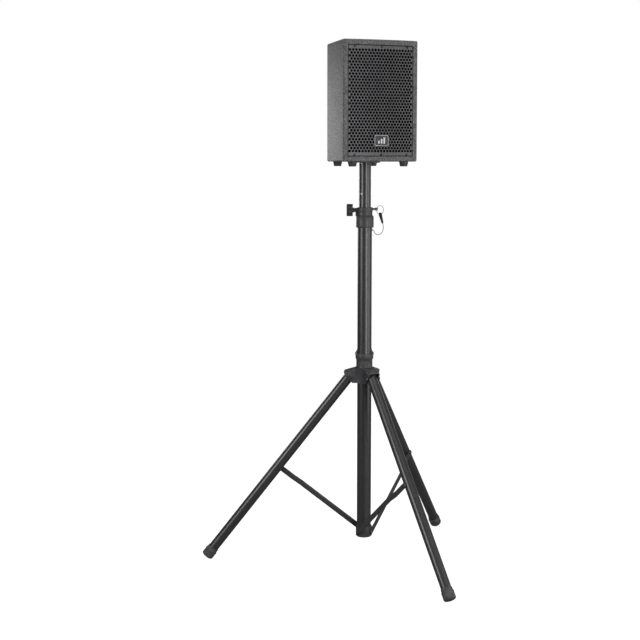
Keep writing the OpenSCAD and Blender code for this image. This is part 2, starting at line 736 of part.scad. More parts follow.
// Webs that close the gaps between the brackets, and meet in a corner in front of the sleeve.
hub_corner_r = 24.7;
module hub_webs()
    translate([0, 0, hub_bottom + 0.05]) linear_extrude(roof_start - 1.5 - hub_bottom)
        polygon([for (k = [0:leg_count - 1], p = [[31.35, -36], [31.35, 36], [hub_corner_r, 60]])
            [p[0] * cos(leg_az + 120 * k + p[1]), p[0] * sin(leg_az + 120 * k + p[1])]]);

module leg_hub()
    color(plastic) in_stand() difference() {
        union() {
            translate([0, 0, hub_bottom]) cylinder(r = hub_r, h = hub_mid - hub_bottom, $fn = 64);
            hub_webs();
            for (k = [0:leg_count - 1]) rotate([0, 0, leg_az + 120 * k]) bracket();
        }
        translate([0, 0, hub_bottom - 1]) cylinder(r = mast_d / 2 + gap, h = 90, $fn = 64);
    }

band_az = leg_az + 150;   // the hub's clamp knob is behind the mast

module hub_clamp_band()
    color(plastic) in_stand() difference() {
        union() {
            rotate_extrude($fn = 64) polygon([
                [mast_d / 2 + gap, hub_mid + eps], [hub_r, hub_mid + eps], [hub_r + 2.4, hub_mid + 5],
                [hub_r + 2.4, hub_top - 2], [hub_r + 1, hub_top], [mast_d / 2 + gap, hub_top]]);
            outward(band_az, 22, hub_knob_z) cylinder(r = 7.5, h = 12);
        }
        translate([0, 0, hub_mid - 1]) cylinder(r = mast_d / 2 + gap, h = 40, $fn = 64);
        outward(band_az, 10, hub_knob_z) cylinder(r = 4.05, h = 30);
    }

hub_knob_start = mast_d / 2 + 18;
hub_knob_r = 28;
hub_knob_z = hub_top - 8;

module hub_knob()
    color(rubber) in_stand() outward(band_az, hub_knob_start, hub_knob_z) knob(hub_knob_r, 20, 8);

module hub_knob_screw()
    color(zinc) in_stand() outward(band_az, mast_d / 2 + 0.3, hub_knob_z) cylinder(r = 3.95, h = 32);

// Each bolt crosses both ears, with a domed head on one side and a nut on the other.
module leg_bolts()
    color(steel_black) in_stand() for (k = [0:leg_count - 1])
        rotate([0, 0, leg_az + 120 * k]) rotate([90, 0, 0]) translate([pivot_r, pivot_z, 0]) {
            translate([0, 0, -ear_out - 5]) cylinder(r = 3.95, h = 2 * ear_out + 5.2);
            translate([0, 0, ear_out + 0.05]) dome(7, 4);
            translate([0, 0, -ear_out - 5.05]) cylinder(r = 7, h = 5, $fn = 6);
        }

// ================= legs =================
// A leg is drawn hanging straight down from its pivot, then swung out.
module leg_frame(k)
    rotate([0, 0, leg_az + 120 * k]) translate([pivot_r, 0, pivot_z]) rotate([0, -leg_tilt, 0]) children();

module leg_tube(k)
    color(steel_black) in_stand() leg_frame(k) difference() {
        translate([0, 0, -leg_len + 14]) cylinder(r = leg_d / 2, h = leg_len + leg_top - 14);
        difference() {
            translate([0, 0, -leg_len + 13]) cylinder(r = leg_d / 2 - leg_wall, h = leg_len + leg_top);
            // spacer tube round the pivot bolt
            rotate([90, 0, 0]) cylinder(r = 6.5, h = leg_d + 4, center = true);
        }
        rotate([90, 0, 0]) cylinder(r = 4.03, h = leg_d + 4, center = true);
    }

// Rubber cap with a rim, a slightly tapered body and a rounded end, cut level with the floor.
module foot_cap(k)
    color(rubber) in_stand() intersection() {
        leg_frame(k) translate([0, 0, -leg_len]) difference() {
            rotate_extrude($fn = 64) {
                polygon([
                    [0, -4], [cap_d / 2 - 6, -4], [cap_d / 2 - 0.4, 2], [cap_d / 2 - 0.8, 16],
                    [cap_d / 2, 17], [cap_d / 2, 20], [leg_d / 2 + 1.6, 22],
                    [leg_d / 2 + 1.6, cap_len - 4], [0, cap_len - 4]]);
                translate([cap_d / 2 - 6.4, 2]) circle(r = 6);
            }
            translate([0, 0, 14]) cylinder(r = leg_d / 2, h = 60);
        }
        translate([-800, -800, 0]) cube([1600, 1600, 200]);
    }

// ================= braces =================
// Side offsets along a strap: beside the mast, a joggle, then close to the leg.
joggle_from = 236;
joggle_to = 264;

module brace_frame(k)
    rotate([0, 0, leg_az + 120 * k]) translate([brace_r, 0, brace_z]) rotate([0, -brace_tilt, 0]) children();

module brace(k)
    color(steel_black) in_stand() brace_frame(k) difference() {
        intersection() {
            translate([0, 0, -brace_w / 2]) linear_extrude(brace_w) polygon([
                [-10, -low_offset], [joggle_from, -low_offset], [joggle_to, -high_offset],
                [brace_len + 10, -high_offset], [brace_len + 10, -high_offset - brace_t],
                [joggle_to, -high_offset - brace_t], [joggle_from, -low_offset - brace_t],
                [-10, -low_offset - brace_t]]);
            rotate([90, 0, 0]) linear_extrude(60) {
                translate([0, -brace_w / 2]) square([brace_len, brace_w]);
                circle(r = brace_w / 2);
                translate([brace_len, 0]) circle(r = brace_w / 2);
            }
        }
        rotate([90, 0, 0]) cylinder(r = 3.3, h = 60);
        translate([brace_len, 0, 0]) rotate([90, 0, 0]) cylinder(r = 3, h = 60);
    }

// The rivet stays with the strap and ends just short of the leg tube.
module brace_rivet(k)
    color(steel_black) in_stand() brace_frame(k) translate([brace_len, 0, 0]) rotate([90, 0, 0]) {
        translate([0, 0, high_offset - 0.3]) cylinder(r = 2.95, h = brace_t + 0.4);
        translate([0, 0, high_offset + brace_t + 0.02]) dome(6.2, 3.2);
    }

module leg_tube_1() leg_tube(0);
module leg_tube_2() leg_tube(1);
module leg_tube_3() leg_tube(2);
module foot_cap_1() foot_cap(0);
module foot_cap_2() foot_cap(1);
module foot_cap_3() foot_cap(2);
module brace_1() brace(0);
module brace_2() brace(1);
module brace_3() brace(2);
module brace_rivet_1() brace_rivet(0);
module brace_rivet_2() brace_rivet(1);
module brace_rivet_3() brace_rivet(2);

top_panel();
bottom_panel();
left_side_panel();
right_side_panel();
back_panel();
front_baffle();
grille_battens();
grille_foam();
front_grille();
grille_screws();
front_badge();
woofer_basket();
woofer_magnet();
woofer_surround();
woofer_spider();
driver_screws();
woofer_cone();
dust_cap();
voice_coil();
horn_flare();
compression_driver();
crossover_board();
damping_foam();
terminal_plate();
input_jacks();
terminal_screws();
pole_socket();
underside_screws();
cabinet_feet();
pole_tube();
pole_guide_bush();
main_tube();
top_collar();
lanyard_anchor();
pin_lanyard();
base_collar();
brace_bolts();
mast_end_plug();
height_knob();
height_knob_screw();
locking_pin();
split_ring();
swivel_tab();
leg_hub();
hub_clamp_band();
leg_bolts();
hub_knob();
hub_knob_screw();
leg_tube_1();
leg_tube_2();
leg_tube_3();
foot_cap_1();
foot_cap_2();
foot_cap_3();
brace_1();
brace_2();
brace_3();
brace_rivet_1();
brace_rivet_2();
brace_rivet_3();
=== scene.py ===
"""Looks for the loudspeaker on its folding tripod stand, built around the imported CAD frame."""
import json
import math
import random

import bmesh
import bpy
from mathutils import Matrix, Vector, geometry


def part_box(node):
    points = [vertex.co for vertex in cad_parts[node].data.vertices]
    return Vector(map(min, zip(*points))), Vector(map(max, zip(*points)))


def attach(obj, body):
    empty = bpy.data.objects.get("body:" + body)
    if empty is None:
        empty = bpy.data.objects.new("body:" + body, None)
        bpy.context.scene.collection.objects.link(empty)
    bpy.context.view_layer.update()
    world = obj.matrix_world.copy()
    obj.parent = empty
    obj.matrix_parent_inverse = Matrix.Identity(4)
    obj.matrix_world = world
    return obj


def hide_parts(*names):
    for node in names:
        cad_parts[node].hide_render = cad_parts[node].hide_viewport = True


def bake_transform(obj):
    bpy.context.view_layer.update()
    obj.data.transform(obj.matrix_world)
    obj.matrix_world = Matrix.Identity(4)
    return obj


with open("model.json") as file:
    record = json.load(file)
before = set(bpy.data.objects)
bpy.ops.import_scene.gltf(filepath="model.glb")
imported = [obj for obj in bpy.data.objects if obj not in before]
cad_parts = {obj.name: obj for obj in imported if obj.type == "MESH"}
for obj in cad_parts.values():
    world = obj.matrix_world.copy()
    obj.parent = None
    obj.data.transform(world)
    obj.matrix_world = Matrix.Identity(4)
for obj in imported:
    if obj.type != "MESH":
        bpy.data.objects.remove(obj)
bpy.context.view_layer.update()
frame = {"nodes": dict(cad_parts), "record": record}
NODES = frame["nodes"]

MM = 0.001
mast_low, mast_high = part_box("main_tube")
MAST = Vector(((mast_low.x + mast_high.x) / 2, (mast_low.y + mast_high.y) / 2, 0))


# ---------------------------------------------------------------- mesh helpers
def add(name, mesh):
    obj = bpy.data.objects.new(name, mesh)
    bpy.context.scene.collection.objects.link(obj)
    return obj


def from_lists(name, points, faces):
    mesh = bpy.data.meshes.new(name)
    mesh.from_pydata([tuple(p) for p in points], [], faces)
    mesh.validate()
    return add(name, mesh)


def from_bmesh(name, bm):
    mesh = bpy.data.meshes.new(name)
    bm.to_mesh(mesh)
    bm.free()
    return add(name, mesh)


def bake(obj):
    """Applies every modifier."""
    depsgraph = bpy.context.evaluated_depsgraph_get()
    mesh = bpy.data.meshes.new_from_object(obj.evaluated_get(depsgraph))
    obj.modifiers.clear()
    obj.data = mesh
    return obj


def smooth(obj, angle=35):
    obj.data.shade_smooth()
    obj.data.set_sharp_from_angle(angle=math.radians(angle))
    return obj


def bevel(obj, width, segments=3, angle=30):
    """Rounds the edges that are sharper than angle."""
    m = obj.modifiers.new("bevel", "BEVEL")
    m.width = width
    m.segments = segments
    m.limit_method = "ANGLE"
    m.angle_limit = math.radians(angle)
    m.miter_outer = "MITER_ARC"
    m.harden_normals = False
    return bake(obj)


def cut(obj, cutter):
    """Cuts the cutter out of obj."""
    m = obj.modifiers.new("cut", "BOOLEAN")
    m.operation = "DIFFERENCE"
    m.solver = "EXACT"
    m.object = cutter
    bake(obj)
    bpy.data.objects.remove(cutter)
    return obj


def face_outward(obj):
    """Turns every face of a closed mesh outwards."""
    bm = bmesh.new()
    bm.from_mesh(obj.data)
    bmesh.ops.recalc_face_normals(bm, faces=bm.faces)
    bm.to_mesh(obj.data)
    bm.free()
    return obj


def join(name, parts):
    """One object from several, which are removed."""
    bm = bmesh.new()
    for part in parts:
        part.data.transform(part.matrix_world)
        bm.from_mesh(part.data)
    joined = from_bmesh(name, bm)
    for part in parts:
        bpy.data.objects.remove(part)
    return joined


def place(obj, matrix):
    obj.data.transform(matrix)
    return obj


def prism(name, outline, low, high):
    """Upright prism on an anticlockwise outline of (x, y)."""
    n = len(outline)
    points = [(x, y, low) for x, y in outline] + [(x, y, high) for x, y in outline]
    faces = [tuple(range(n - 1, -1, -1)), tuple(range(n, 2 * n))]
    faces += [(i, (i + 1) % n, n + (i + 1) % n, n + i) for i in range(n)]
    return from_lists(name, points, faces)


def lathe(name, profile, steps=96):
    """Solid of revolution about Z from a closed profile of (radius, height), which may touch the axis."""
    points, faces, rings = [], [], []
    for r, z in profile:
        if r < 1e-7:
            rings.append([len(points)] * steps)
            points.append((0, 0, z))
            continue
        rings.append([len(points) + i for i in range(steps)])
        turn = 2 * math.pi / steps
        points += [(r * math.cos(i * turn), r * math.sin(i * turn), z) for i in range(steps)]
    count = len(profile)
    for a in range(count):
        first, second = rings[a], rings[(a + 1) % count]
        for i in range(steps):
            j = (i + 1) % steps
            corners = [first[i], first[j], second[j], second[i]]
            face = [c for n, c in enumerate(corners) if c not in corners[:n]]
            if len(face) > 2:
                faces.append(face)
    return face_outward(from_lists(name, points, faces))


def rounded(profile, radius, steps=4):
    """The profile with its corners rounded, except those on the axis."""
    result = []
    count = len(profile)
    for i, point in enumerate(profile):
        here = Vector(point)
        before, after = Vector(profile[i - 1]), Vector(profile[(i + 1) % count])
        into, out = before - here, after - here
        room = min(radius, into.length * 0.45, out.length * 0.45)
        if here.x < 1e-7 or into.angle(out) > math.radians(170):
            result.append(tuple(here))
            continue
        start, end = here + into.normalized() * room, here + out.normalized() * room
        for k in range(steps + 1):
            t = k / steps
            result.append(tuple(start * (1 - t) ** 2 + here * (2 * t * (1 - t)) + end * t ** 2))
    return result


def slab_faces(across, up):
    """Faces of a slab from two grids of points, rows of across + 1 from the bottom up, front grid first."""
    wide, sheet = across + 1, (across + 1) * (up + 1)
    faces = []
    for k in range(up):
        for i in range(across):
            a, b, c, d = (k * wide + i, k * wide + i + 1, (k + 1) * wide + i + 1, (k + 1) * wide + i)
            faces += [(a, b, c, d), (sheet + d, sheet + c, sheet + b, sheet + a)]
    rim = list(range(wide)) + [k * wide + across for k in range(1, up + 1)]
    rim += [up * wide + i for i in range(across - 1, -1, -1)] + [k * wide for k in range(up - 1, 0, -1)]
    return faces + [(b, a, sheet + a, sheet + b) for a, b in zip(rim, rim[1:] + rim[:1])]


def tube(name, line, radius, sides=12):
    """Round tube along a line of points, with flat ends."""
    count = len(line)
    normal = None
    points, faces = [], []
    for i, p in enumerate(line):
        along = (line[min(i + 1, count - 1)] - line[max(i - 1, 0)]).normalized()
        if normal is None:
            normal = along.orthogonal().normalized()
        normal = (normal - along * normal.dot(along)).normalized()
        side = along.cross(normal)
        for k in range(sides):
            a = 2 * math.pi * k / sides
            points.append(p + radius * (normal * math.cos(a) + side * math.sin(a)))
    for i in range(count - 1):
        for k in range(sides):
            l = (k + 1) % sides
            faces.append((i * sides + k, i * sides + l, (i + 1) * sides + l, (i + 1) * sides + k))
    faces.append(tuple(range(sides - 1, -1, -1)))
    faces.append(tuple((count - 1) * sides + k for k in range(sides)))
    return smooth(from_lists(name, points, faces), 50)


def refine(node, name, width, segments=2, angle=35):
    """A copy of a CAD node with its flat faces merged and its sharp edges rounded."""
    bm = bmesh.new()
    bm.from_mesh(NODES[node].data)
    bmesh.ops.remove_doubles(bm, verts=bm.verts, dist=1e-6)
    bmesh.ops.dissolve_limit(bm, angle_limit=math.radians(0.6), verts=bm.verts, edges=bm.edges)
    bmesh.ops.dissolve_degenerate(bm, dist=2e-6, edges=bm.edges)
    obj = from_bmesh(name, bm)
    bevel(obj, width, segments, angle)
    return smooth(obj, 40)


# ---------------------------------------------------------------- materials
class Look:
    """A procedural material in the row frame's coordinates, in metres."""

    def __init__(self, name, base, roughness, metallic=0.0, specular=0.5):
        self.material = bpy.data.materials.new(name)
        self.material.use_nodes = True
        self.nodes = self.material.node_tree.nodes
        self.links = self.material.node_tree.links
        self.shader = self.nodes["Principled BSDF"]
        self.base = base
        self.shader.inputs["Base Color"].default_value = (*base, 1)
        self.shader.inputs["Roughness"].default_value = roughness
        self.shader.inputs["Metallic"].default_value = metallic
        self.shader.inputs["Specular IOR Level"].default_value = specular
        self.place = self.nodes.new("ShaderNodeTexCoord").outputs["Object"]
        self.material.diffuse_color = (*base, 1)

    def noise(self, size, detail=2.0, rough=0.5, stretch=None):
        """Soft noise whose grains are about size metres across."""
        place = self.place
        if stretch:
            mapping = self.nodes.new("ShaderNodeMapping")
            mapping.inputs["Scale"].default_value = stretch
            self.links.new(place, mapping.inputs["Vector"])
            place = mapping.outputs["Vector"]
        n = self.nodes.new("ShaderNodeTexNoise")
        n.inputs["Scale"].default_value = 1 / size
        n.inputs["Detail"].default_value = detail
        n.inputs["Roughness"].default_value = rough
        self.links.new(place, n.inputs["Vector"])
        return n.outputs["Fac"]

    def cells(self, size):
        """Rounded cells about size metres across, as in orange-peel paint."""
        v = self.nodes.new("ShaderNodeTexVoronoi")
        v.feature = "SMOOTH_F1"
        v.inputs["Scale"].default_value = 1 / size
        v.inputs["Smoothness"].default_value = 0.6
        self.links.new(self.place, v.inputs["Vector"])
        return v.outputs["Distance"]

    def ramp(self, value, low, high, start=0.3, end=0.7):
        r = self.nodes.new("ShaderNodeMapRange")
        r.interpolation_type = "SMOOTHSTEP"
        r.inputs["From Min"].default_value = start
        r.inputs["From Max"].default_value = end
        r.inputs["To Min"].default_value = low
        r.inputs["To Max"].default_value = high
        self.links.new(value, r.inputs["Value"])
        return r.outputs["Result"]

    def tint(self, value, dark, light, start=0.3, end=0.7):
        """Mixes the base colour between dark and light times itself."""
        m = self.nodes.new("ShaderNodeMix")
        m.data_type = "RGBA"
        m.inputs["A"].default_value = (*[c * dark for c in self.base], 1)
        m.inputs["B"].default_value = (*[c * light for c in self.base], 1)
        self.links.new(self.ramp(value, 0, 1, start, end), m.inputs["Factor"])
        self.links.new(m.outputs["Result"], self.shader.inputs["Base Color"])
        return self

    def gloss(self, value, low, high):
        self.links.new(self.ramp(value, low, high), self.shader.inputs["Roughness"])
        return self

    def bump(self, value, depth):
        """Raises the surface by up to depth metres; calls add up."""
        b = self.nodes.new("ShaderNodeBump")
        b.inputs["Strength"].default_value = 1.0
        b.inputs["Distance"].default_value = depth
        self.links.new(value, b.inputs["Height"])
        old = self.shader.inputs["Normal"]
        if old.is_linked:
            self.links.new(old.links[0].from_socket, b.inputs["Normal"])
        self.links.new(b.outputs["Normal"], old)
        return self


def orange_peel():
    look = Look("orange_peel_paint", (0.096, 0.096, 0.100), 0.5, specular=0.5)
    grain = look.noise(0.0040, 3.0, 0.65)
    look.tint(grain, 0.45, 1.7, 0.36, 0.66)
    look.gloss(look.noise(0.005, 2.0), 0.42, 0.6)
    return look.bump(look.cells(0.0034), 0.0008).bump(look.noise(0.0014, 2.0), 0.0003).material


def powder_coat():
    look = Look("powder_coat", (0.022, 0.022, 0.024), 0.36, specular=0.9)
    look.tint(look.noise(0.02, 4.0), 0.85, 1.15)
    look.gloss(look.noise(0.004, 3.0), 0.33, 0.39)
    return look.bump(look.noise(0.0011, 2.0), 0.000012).material


def grille_coat():
    look = Look("grille_coat", (0.096, 0.096, 0.100), 0.4, specular=0.4)
    look.tint(look.noise(0.018, 4.0), 0.88, 1.12)
    look.gloss(look.noise(0.004, 3.0), 0.34, 0.46)
    return look.bump(look.noise(0.0009, 2.0), 0.00005).material


def moulded(name, base, low=0.34, high=0.5, depth=0.00006):
    look = Look(name, base, 0.42, specular=0.4)
    look.tint(look.noise(0.012, 4.0), 0.86, 1.14)
    look.gloss(look.noise(0.006, 3.0), low, high)
    return look.bump(look.noise(0.0008, 2.0), depth).material


def rubber(name, base):
    look = Look(name, base, 0.62, specular=0.4)
    look.tint(look.noise(0.008, 4.0), 0.75, 1.3)
    look.gloss(look.noise(0.005, 3.0), 0.5, 0.7)
    return look.bump(look.noise(0.0007, 2.0), 0.00005).material


def bright_metal(name, base, roughness, stretch=(1, 1, 12)):
    look = Look(name, base, roughness, metallic=1.0)
    look.tint(look.noise(0.006, 3.0), 0.85, 1.08)
    look.gloss(look.noise(0.002, 3.0, stretch=stretch), roughness * 0.75, roughness * 1.3)
    return look.bump(look.noise(0.0012, 2.0, stretch=stretch), 0.00001).material


def satin_metal(name, base, roughness):
    look = Look(name, base, roughness, metallic=0.35)
    look.tint(look.noise(0.004, 3.0), 0.88, 1.08)
    look.gloss(look.noise(0.002, 3.0), roughness * 0.85, roughness * 1.2)
    return look.bump(look.noise(0.0009, 2.0), 0.00001).material


def dark_metal(name, base, roughness):
    look = Look(name, base, roughness, metallic=0.6)
    look.tint(look.noise(0.003, 3.0), 0.8, 1.2)
    look.gloss(look.noise(0.003, 3.0), roughness * 0.8, roughness * 1.25)
    return look.bump(look.noise(0.0008, 2.0), 0.00001).material


def fabric(name, base, size, depth):
    look = Look(name, base, 0.95, specular=0.2)
    look.tint(look.noise(size, 5.0, 0.7), 0.4, 1.6)
    look.gloss(look.noise(size * 2, 2.0), 0.85, 1.0)
    return look.bump(look.cells(size), depth).bump(look.noise(size * 0.5, 3.0), depth * 0.6).material


def foam(name, base):
    """Open-cell foam, so black between its cells that it throws back almost nothing."""
    look = Look(name, base, 1.0, specular=0.02)
    look.tint(look.cells(0.0014), 0.2, 1.8, 0.2, 0.8)
    look.gloss(look.noise(0.002, 2.0), 0.95, 1.0)
    return look.bump(look.cells(0.0014), 0.0006).material


def raw_board():
    look = Look("baffle_paint", (0.02, 0.02, 0.022), 0.7, specular=0.3)
    look.tint(look.noise(0.01, 4.0), 0.8, 1.25)
    look.gloss(look.noise(0.004, 3.0), 0.6, 0.8)
    return look.bump(look.noise(0.0015, 3.0), 0.0001).material


def circuit_green():
    look = Look("solder_mask", (0.03, 0.14, 0.06), 0.35)
    look.tint(look.cells(0.008), 0.7, 1.2)
    look.gloss(look.noise(0.003, 3.0), 0.28, 0.42)
    return look.bump(look.cells(0.004), 0.0001).material


SLOT_LOOKS = {
    "cabinet_paint": orange_peel(),
    "baffle_board": raw_board(),
    "foam": foam("open_cell_foam", (0.0025, 0.0025, 0.0027)),
    "grille_steel": grille_coat(),
    "badge": satin_metal("badge_rim", (0.50, 0.50, 0.51), 0.45),
    "cast_black": moulded("cast_black", (0.02, 0.02, 0.022)),
    "paper_cone": fabric("paper_cone", (0.02, 0.02, 0.022), 0.0025, 0.0002),
    "spider_cloth": fabric("spider_cloth", (0.45, 0.30, 0.12), 0.0009, 0.0002),
    "copper": bright_metal("copper_wire", (0.72, 0.38, 0.20), 0.3, (1, 1, 30)),
    "zinc_steel": bright_metal("zinc_plate", (0.66, 0.67, 0.68), 0.25),
    "black_screw": dark_metal("black_oxide", (0.035, 0.035, 0.037), 0.35),
    "moulded_black": moulded("moulded_black", (0.060, 0.060, 0.064)),
    "circuit_board": circuit_green(),
    "rubber_black": rubber("rubber", (0.040, 0.040, 0.042)),
    "guide_nylon": moulded("guide_nylon", (0.70, 0.69, 0.65), 0.4, 0.55),
    "powder_coat": powder_coat(),
    "lanyard_wire": moulded("lanyard_vinyl", (0.012, 0.012, 0.013), 0.3, 0.45, 0.00003),
}
# Lighter copy of the black rubber for the foot boots: painted light, standing in for the light that falls on
# them from low down
painted_light_cap_rubber = rubber("painted_light_cap_rubber", (0.075, 0.075, 0.079))
# Paint lighter than the tubes' powder coat for the brace straps: painted light on their flat faces
painted_light_strap_paint = moulded("painted_light_strap_paint", (0.050, 0.050, 0.053), 0.36, 0.46, 0.00002)
badge_field = moulded("badge_field", (0.045, 0.045, 0.048), 0.3, 0.4)
badge_mark = satin_metal("badge_mark", (0.62, 0.62, 0.63), 0.5)
damping_look = fabric("damping_foam", (0.18, 0.18, 0.19), 0.0016, 0.0003)
ring_wire = bright_metal("ring_wire", (0.20, 0.20, 0.21), 0.4)

for part in frame["record"]["subparts"]:
    mesh = NODES[part["node"]].data
    mesh.materials.clear()
    mesh.materials.append(SLOT_LOOKS[part["material_slot"]])


BODY_OF = {node: body for body, nodes in frame["record"]["behaviour"]["bodies"].items() for node in nodes}
SLOT_OF = {part["node"]: part["material_slot"] for part in frame["record"]["subparts"]}


def finish_piece(obj, body, slot, nodes=(), look=None):
    """Gives a finished piece its material (its slot's look unless a look is given), attaches it to its body and
    hides the CAD nodes it replaces.
    """
    obj.data.materials.clear()
    obj.data.materials.append(look or SLOT_LOOKS[slot])
    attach(obj, body)
    if nodes:
        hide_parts(*nodes)
    return obj


# ---------------------------------------------------------------- camera
CAMERA_OUT = 4181.1 * MM         # from the mast's axis, level
CAMERA_SIDE = math.radians(24.9)
CAMERA_HEIGHT = 1208.9 * MM
AIM_LEFT = math.radians(1.8)
AIM_DOWN = math.radians(6.6)
FOCAL = 80.2

camera_data = bpy.data.cameras.new("camera")
camera_data.lens = FOCAL
camera_data.sensor_width = 36
camera_data.clip_end = 100
camera = bpy.data.objects.new("camera", camera_data)
bpy.context.scene.collection.objects.link(camera)
bpy.context.scene.camera = camera
camera.location = MAST + Vector((
    -CAMERA_OUT * math.sin(CAMERA_SIDE), -CAMERA_OUT * math.cos(CAMERA_SIDE), CAMERA_HEIGHT))
camera.rotation_euler = (math.pi / 2 - AIM_DOWN, 0, -CAMERA_SIDE + AIM_LEFT)


# ---------------------------------------------------------------- lanyard
PIN_AZIMUTH = math.radians(335)
LANYARD_WIRE = 1.8 * MM
# outward from the mast's axis, sideways, height, in millimetres
LANYARD_ROUTE = [
    (52, 0, 1010), (53, -1.2, 1006.2), (53.6, -2.2, 1002.2), (53.8, -3, 998), (53.6, -3.6, 993.8),
    (52.8, -4, 989.8), (51, -4.2, 986), (48.6, -4.2, 982.6), (45.4, -4.2, 979.8), (41.6, -4.2, 978),
    (37.6, -4, 977.4), (33.8, -3.6, 978.4), (30.6, -3, 980.8), (28.4, -2.2, 984), (27, -1.4, 987.2),
    (25.8, -0.6, 989.8), (24.6, 0, 991)]


def turned(azimuth, at=(0, 0, 0)):
    """From a frame about the mast's axis, with X pointing out at azimuth, to the row frame."""
    return Matrix.Translation(MAST) @ Matrix.Rotation(azimuth, 4, "Z") @ Matrix.Translation(Vector(at))


def curve_through(points, steps):
    """Catmull-Rom curve through the points."""
    result = []
    last = len(points) - 1
    for i in range(last):
        a, b = points[max(i - 1, 0)], points[i]
        c, d = points[i + 1], points[min(i + 2, last)]
        for k in range(steps):
            t = k / steps
            result.append(0.5 * (2 * b + (c - a) * t + (2 * a - 5 * b + 4 * c - d) * t ** 2
                                 + (3 * b - a - 3 * c + d) * t ** 3))
    return result + [points[-1]]


def make_lanyard():
    route = [turned(PIN_AZIMUTH) @ (Vector(p) * MM) for p in LANYARD_ROUTE]
    line = curve_through(route, 6)
    wire = tube("pin_lanyard_wire", line, LANYARD_WIRE / 2, 12)
    wire.data.materials.append(SLOT_LOOKS["lanyard_wire"])
    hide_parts("pin_lanyard")
    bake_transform(wire)


make_lanyard()


# ---------------------------------------------------------------- cabinet
BOARD = 15 * MM
TAPER = 40 * MM
BOW = 8 * MM
GRILLE_RECESS = 3 * MM
GRILLE_SHEET = 1.2 * MM

top_low, top_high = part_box("top_panel")
bottom_low, bottom_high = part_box("bottom_panel")
CAB_W = top_high.x - top_low.x
CAB_X = (top_high.x + top_low.x) / 2
CAB_BACK = top_high.y
CAB_FRONT = top_low.y + BOW          # the front corners
CAB_Z0, CAB_Z1 = bottom_low.z, top_high.z
BOW_R = (CAB_W ** 2 / 4 + BOW ** 2) / (2 * BOW)
BOW_CENTRE = top_low.y + BOW_R


def bow_y(x, behind=0.0):
    """Y of the bowed front at x from the middle, or of the sheet that lies that far behind it."""
    return BOW_CENTRE - math.sqrt((BOW_R - behind) ** 2 - x * x)


def side_x(y, inset=0.0):
    """Half width of the cabinet at y."""
    return CAB_W / 2 - inset - TAPER * (y - CAB_FRONT) / (CAB_BACK - CAB_FRONT)


def plan_outline(inset, front, back, steps=24):
    """Anticlockwise outline of the cabinet seen from above, inset at its sides."""
    half = side_x(front, inset)
    xs = [-half + 2 * half * i / steps for i in range(steps + 1)]
    points = [(CAB_X + x, front if inset else bow_y(x)) for x in xs]
    return points + [(CAB_X + side_x(back, inset), back), (CAB_X - side_x(back, inset), back)]


def rounded_rectangle(w, h, r, steps=5):
    points = []
    for cx, cy, start in ((1, -1, -90), (1, 1, 0), (-1, 1, 90), (-1, -1, 180)):
        for k in range(steps + 1):
            a = math.radians(start + 90 * k / steps)
            points.append((cx * (w / 2 - r) + r * math.cos(a), cy * (h / 2 - r) + r * math.sin(a)))
    return points


def make_cabinet():
    shell = prism("cabinet_shell", plan_outline(0, CAB_FRONT, CAB_BACK), CAB_Z0, CAB_Z1)
    bevel(shell, 4.5 * MM, 5, 30)
    inner = plan_outline(BOARD, CAB_FRONT - 20 * MM, CAB_BACK - BOARD, 1)
    cut(shell, prism("hollow", inner, CAB_Z0 + BOARD, CAB_Z1 - BOARD))
    low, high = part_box("terminal_plate")
    margin = 10.5 * MM                                  # of the plate on the board around its window
    window = prism("window", [
        (low.x + margin, CAB_BACK - 30 * MM), (high.x - margin, CAB_BACK - 30 * MM),
        (high.x - margin, CAB_BACK + 5 * MM), (low.x + margin, CAB_BACK + 5 * MM)],
        low.z + margin, high.z - margin)
    cut(shell, window)
    socket_low, socket_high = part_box("pole_tube")
    hole_r = (socket_high.x - socket_low.x) / 2 + 4 * MM
    ring = [(MAST.x + hole_r * math.cos(2 * math.pi * i / 48), MAST.y + hole_r * math.sin(2 * math.pi * i / 48))
            for i in range(48)]
    cut(shell, prism("hole", ring, CAB_Z0 - 5 * MM, CAB_Z0 + BOARD + 5 * MM))
    bevel(shell, 1.3 * MM, 2, 60)
    smooth(shell, 32)
    finish_piece(shell, "cabinet", "cabinet_paint",
                 ("top_panel", "bottom_panel", "left_side_panel", "right_side_panel", "back_panel"))


make_cabinet()


# ---------------------------------------------------------------- perforated grille
HOLE_PITCH = 9.58 * MM
ROW_PITCH = HOLE_PITCH * math.sqrt(3) / 2
HOLE_R = 4.0 * MM
HOLE_SIDES = 16
ROWS = 35
HOLES_ACROSS = 21                # in the first row, and every second one
BOTTOM_STRIP = 13.0 * MM
GRILLE_GAP = Vector((1.0, 0, 1.0)) * MM      # what the finished sheet is smaller than its CAD solid, a side


def grille_rows(width):
    """Rows of centres of the staggered holes, from the grille's lower left corner."""
    rows = []
    for row in range(ROWS):
        count = HOLES_ACROSS - row % 2
        start = (width - (count - 1) * HOLE_PITCH) / 2
        z = BOTTOM_STRIP + row * ROW_PITCH
        rows.append([(start + i * HOLE_PITCH, z) for i in range(count)])
    return rows


